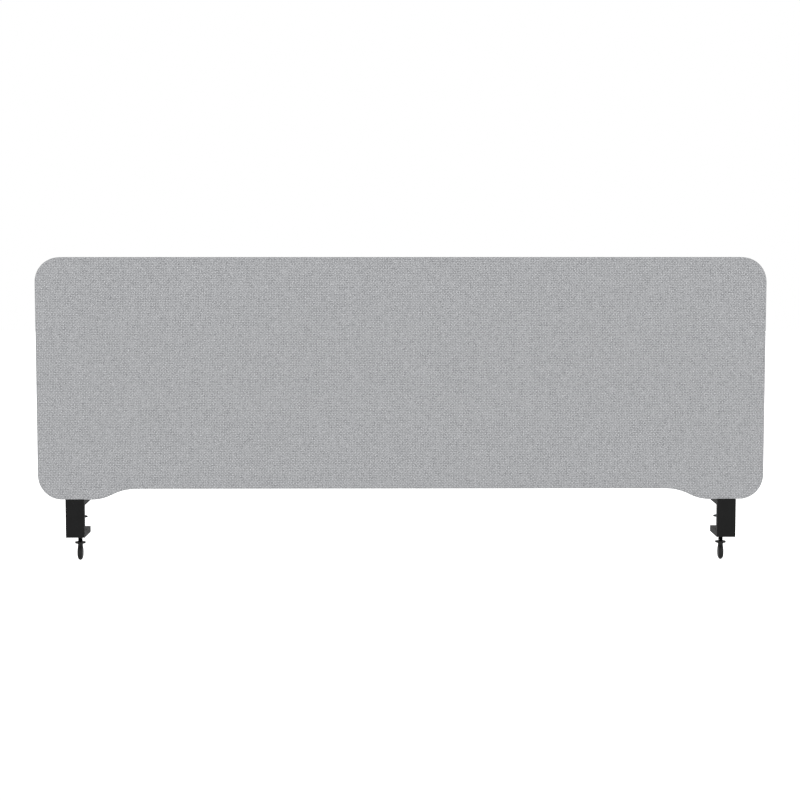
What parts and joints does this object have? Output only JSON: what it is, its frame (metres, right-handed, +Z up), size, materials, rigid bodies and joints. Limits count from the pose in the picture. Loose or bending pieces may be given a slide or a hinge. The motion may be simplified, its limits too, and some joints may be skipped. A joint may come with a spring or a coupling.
{
  "type": "desk privacy panel",
  "caption": "Fabric-covered privacy panel with rounded corners and a cable gap, standing on two C-shaped screw clamps that grip a desk edge.",
  "frame": {"origin": "where the desk top's upper edge seats: midway along the panel, on the faces of the upper jaws, at the inner face of the bracket webs", "axes": "+X along the desk edge, +Y away from the edge and over the desk, +Z up"},
  "size_m": [1.2, 0.067, 0.509],
  "materials": {
    "woven_grey_fabric": "matte",
    "foam": "matte",
    "fibreboard": "matte",
    "black_powder_coat": "satin",
    "zinc_plated_steel": "satin",
    "black_zinc_steel": "satin",
    "brass": "satin",
    "black_rubber": "matte",
    "black_moulded_plastic": "satin"
  },
  "bodies": {
    "root": {"core_board": "fibreboard", "foam_front": "foam", "foam_rear": "foam", "cover_front": "woven_grey_fabric", "cover_rear": "woven_grey_fabric", "left_inserts": "brass", "left_bracket": "black_powder_coat", "left_fixing_screws": "zinc_plated_steel", "left_jaw_pad": "black_rubber", "right_inserts": "brass", "right_bracket": "black_powder_coat", "right_fixing_screws": "zinc_plated_steel", "right_jaw_pad": "black_rubber"},
    "left_pad": {"left_swivel_pad": "black_zinc_steel", "left_swivel_rubber": "black_rubber"},
    "left_screw": {"left_clamp_screw": "black_zinc_steel", "left_handle": "black_moulded_plastic"},
    "right_pad": {"right_swivel_pad": "black_zinc_steel", "right_swivel_rubber": "black_rubber"},
    "right_screw": {"right_clamp_screw": "black_zinc_steel", "right_handle": "black_moulded_plastic"}
  },
  "joints": [
    {"name": "left_pad_lift", "type": "slide", "parent": "root", "child": "left_pad", "axis": [0, 0, 1], "range_m": [-0.011, 0.014]},
    {"name": "left_screw_turn", "type": "hinge", "parent": "left_pad", "child": "left_screw", "pos_m": [-0.5405, 0.043, -0.03], "axis": [0, 0, 1], "range_deg": [-3169, 4033]},
    {"name": "right_pad_lift", "type": "slide", "parent": "root", "child": "right_pad", "axis": [0, 0, 1], "range_m": [-0.011, 0.014]},
    {"name": "right_screw_turn", "type": "hinge", "parent": "right_pad", "child": "right_screw", "pos_m": [0.5405, 0.043, -0.03], "axis": [0, 0, 1], "range_deg": [-3169, 4033]}
  ],
  "couplings": [
    {"joint": "left_screw_turn", "follows": "left_pad_lift", "rad_per_m": 5026.5},
    {"joint": "right_screw_turn", "follows": "right_pad_lift", "rad_per_m": 5026.5}
  ]
}
